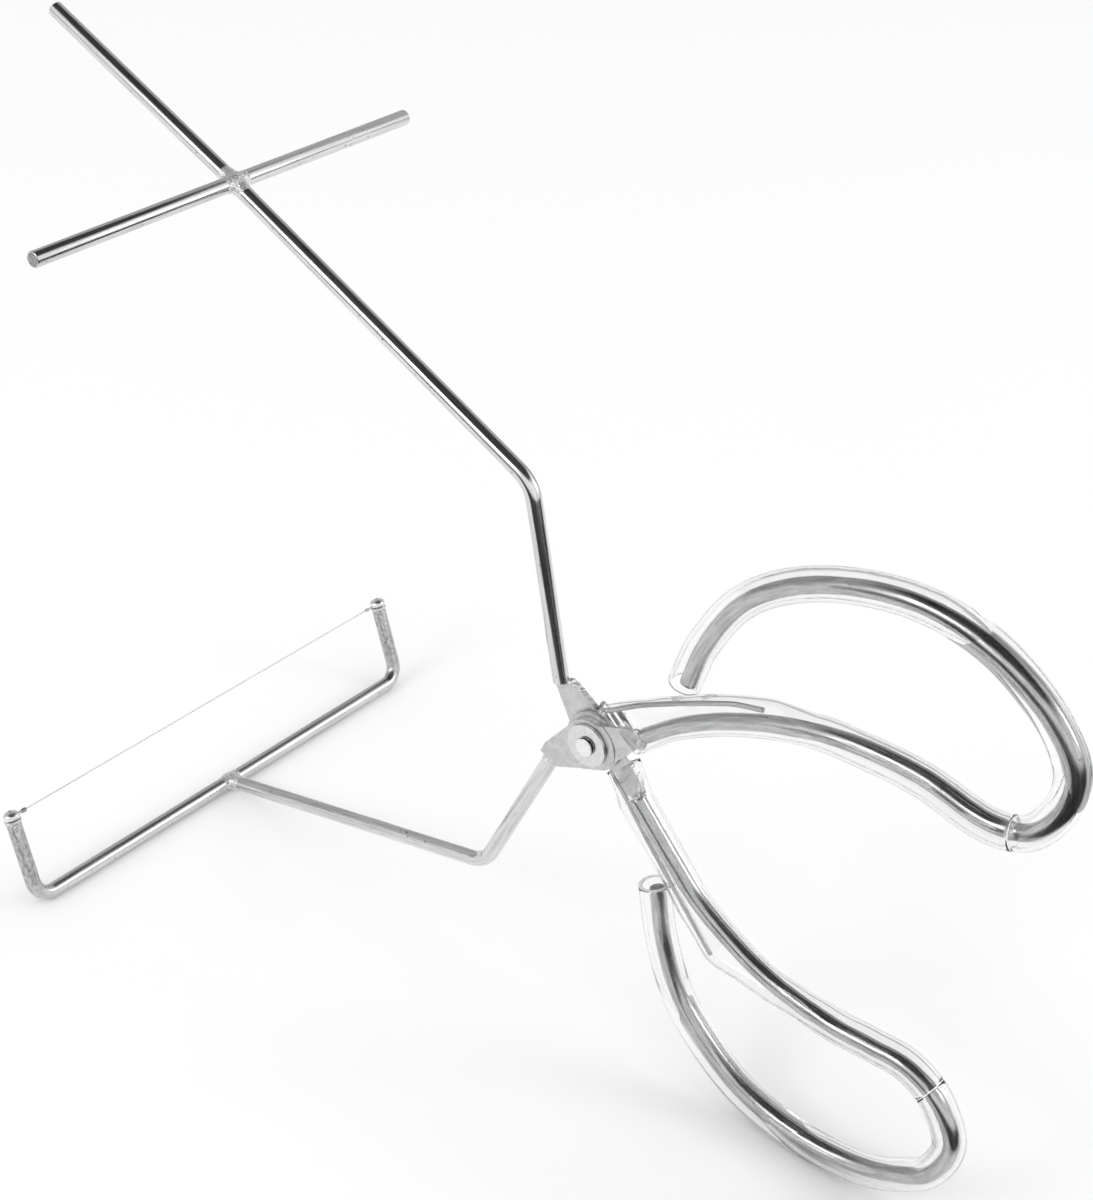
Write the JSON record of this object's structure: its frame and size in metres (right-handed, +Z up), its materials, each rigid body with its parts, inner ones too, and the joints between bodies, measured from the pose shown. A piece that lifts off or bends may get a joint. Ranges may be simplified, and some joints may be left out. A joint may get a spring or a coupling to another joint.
{
  "type": "glaze tongs",
  "caption": "Spring-loaded steel rod dipping tongs with a cross-shaped upper jaw, a wire-strung bow for the lower jaw and finger loops sleeved in clear plastic tube.",
  "frame": {"origin": "centre of the bounding box in plan, on the floor that the bow and the lower finger loop stand on", "axes": "+X from the jaws towards the finger loops, +Y away from the front plate along the pivot rivet, +Z up"},
  "size_m": [0.3852, 0.1818, 0.2604],
  "materials": {
    "rod_steel": "bright drawn rod",
    "plate_steel": "satin",
    "weld_steel": "as welded",
    "fastener_steel": "bright",
    "spring_steel": "drawn wire",
    "clear_tube": "clear flexible tube"
  },
  "bodies": {
    "bow_half": {"front_plate": "plate_steel", "bow_jaw_rod": "rod_steel", "bow_weld": "weld_steel", "bow_frame": "rod_steel", "front_wire_screw": "fastener_steel", "front_screw_washer": "fastener_steel", "back_wire_screw": "fastener_steel", "back_screw_washer": "fastener_steel", "cutting_wire": "fastener_steel", "wire_crimp": "fastener_steel", "upper_loop_rod": "rod_steel", "upper_tube_inner": "clear_tube", "upper_tube_outer": "clear_tube", "pivot_rivet": "fastener_steel", "front_washer": "fastener_steel", "back_washer": "fastener_steel", "pivot_spacer": "plate_steel", "pivot_spring": "spring_steel"},
    "cross_half": {"back_plate": "plate_steel", "cross_jaw_rod": "rod_steel", "cross_tip_rod": "rod_steel", "cross_bar": "rod_steel", "cross_weld": "weld_steel", "lower_loop_rod": "rod_steel", "lower_tube_inner": "clear_tube", "lower_tube_outer": "clear_tube"}
  },
  "joints": [
    {"name": "jaw_pivot", "type": "hinge", "parent": "bow_half", "child": "cross_half", "pos_m": [0.04251, 0, 0.10452], "axis": [0, -1, 0], "range_deg": [-10, 35], "stiffness_Nm_per_rad": 0.8, "springref_deg": -10.89, "deforming": ["pivot_spring"]}
  ]
}
